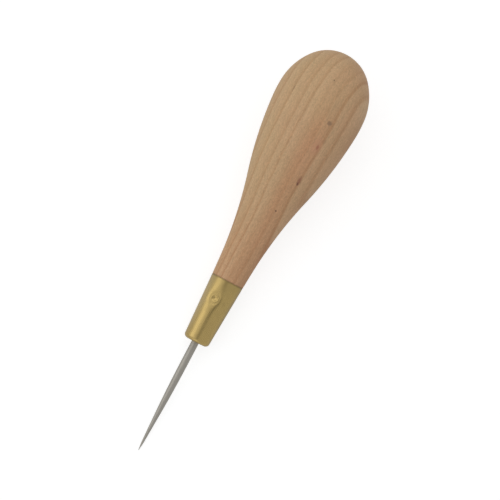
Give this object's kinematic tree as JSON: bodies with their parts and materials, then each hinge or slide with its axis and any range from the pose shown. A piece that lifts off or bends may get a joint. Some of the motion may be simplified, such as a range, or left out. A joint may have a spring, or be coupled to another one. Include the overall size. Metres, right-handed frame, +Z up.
{
  "type": "scratch awl",
  "caption": "Scratch awl: a round tapered steel needle in a pear-shaped turned wooden handle, held by a staked tapered brass ferrule.",
  "frame": {"origin": "on the bench, under the middle of the bounding box of the tool as it lies on its belly and its point", "axes": "+Z up; +X from the point towards the butt, as seen from above. The tool's own axis lies in the XZ plane and rises 7.05 degrees towards the butt"},
  "size_m": [0.1638, 0.0348, 0.0353],
  "materials": {
    "handle_wood": "smooth turned, light satin",
    "ferrule_brass": "dull spun brass, slightly tarnished",
    "blade_steel": "fine ground"
  },
  "bodies": {
    "root": {"handle": "handle_wood", "ferrule": "ferrule_brass", "blade": "blade_steel"}
  },
  "joints": []
}
